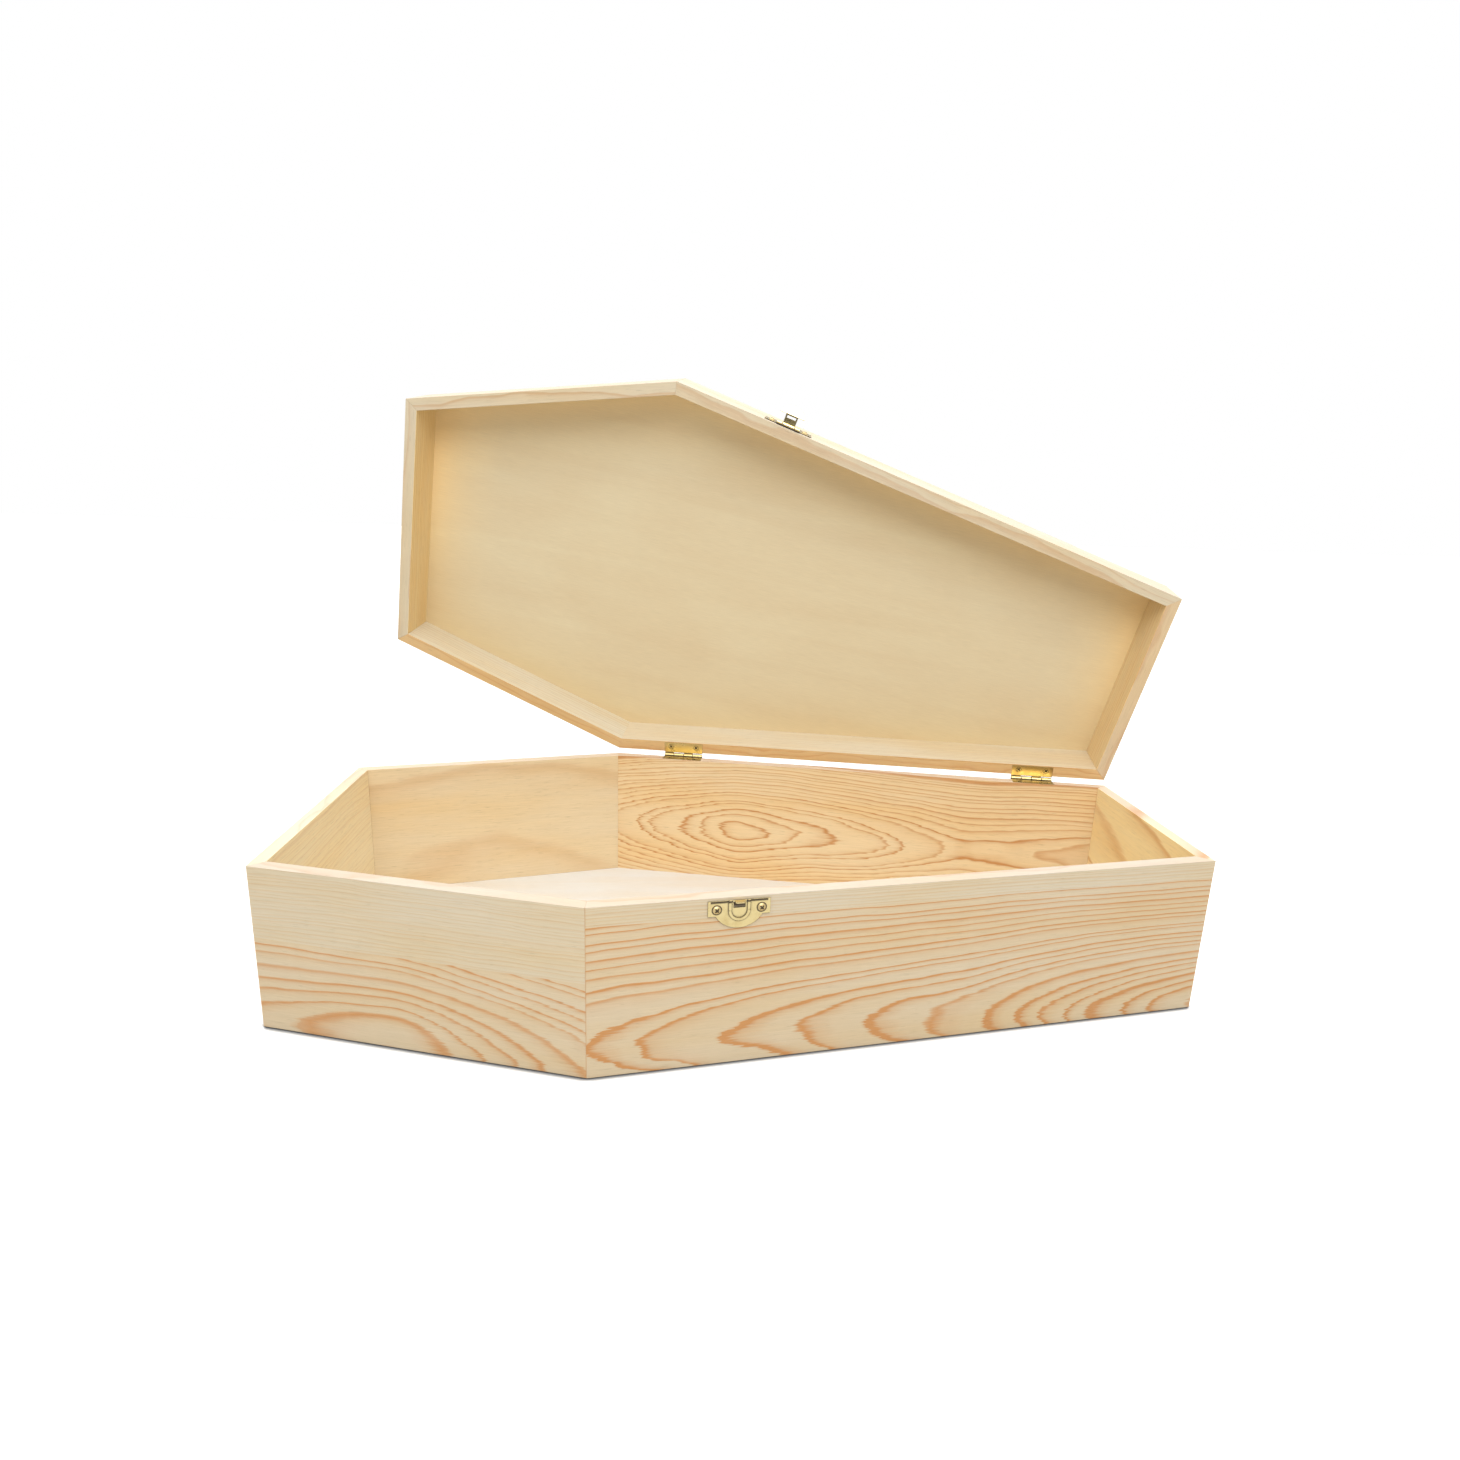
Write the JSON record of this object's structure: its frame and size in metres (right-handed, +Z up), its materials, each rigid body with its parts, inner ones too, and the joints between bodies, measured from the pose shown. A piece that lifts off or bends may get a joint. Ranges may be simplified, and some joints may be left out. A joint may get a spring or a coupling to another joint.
{
  "type": "hinged wooden box",
  "caption": "Coffin-shaped pine box with mitred boards, a shallow lid hinged along a long side on brass butt hinges, and a swinging brass hasp latch.",
  "frame": {"origin": "centre of the box's underside, halfway along its length and on its centreline", "axes": "+Z up, +X from the head end to the foot end, +Y towards the hinges, -Y towards the latch"},
  "size_m": [0.5337, 0.3061, 0.3466],
  "materials": {
    "pine": "sanded bare pine, unfinished",
    "plywood": "sanded bare plywood, unfinished",
    "brass": "bright polished brass plate"
  },
  "bodies": {
    "base": {"base_head_board": "pine", "base_foot_board": "pine", "base_shoulder_board_front": "pine", "base_shoulder_board_back": "pine", "base_side_board_front": "pine", "base_side_board_back": "pine", "base_bottom_panel": "plywood", "hinge_head_base_leaf": "brass", "hinge_head_pin": "brass", "hinge_head_base_screws": "brass", "hinge_foot_base_leaf": "brass", "hinge_foot_pin": "brass", "hinge_foot_base_screws": "brass", "catch_plate": "brass", "catch_screws": "brass"},
    "lid": {"lid_head_board": "pine", "lid_foot_board": "pine", "lid_shoulder_board_front": "pine", "lid_shoulder_board_back": "pine", "lid_side_board_front": "pine", "lid_side_board_back": "pine", "lid_top_panel": "plywood", "hinge_head_lid_leaf": "brass", "hinge_head_lid_screws": "brass", "hinge_foot_lid_leaf": "brass", "hinge_foot_lid_screws": "brass", "hasp_plate": "brass", "hasp_screws": "brass", "hasp_pin": "brass"},
    "latch_arm": {"hasp_arm": "brass"}
  },
  "joints": [
    {"name": "lid_hinge", "type": "hinge", "parent": "base", "child": "lid", "pos_m": [0.08568, 0.09981, 0.09025], "axis": [-0.9835, 0.1809, 0], "range_deg": [-80, 108]},
    {"name": "latch_hinge", "type": "hinge", "parent": "lid", "child": "latch_arm", "pos_m": [0.02412, 0.07335, 0.31712], "axis": [-0.9303, 0.1083, 0.3505], "range_deg": [-90, 64]}
  ]
}
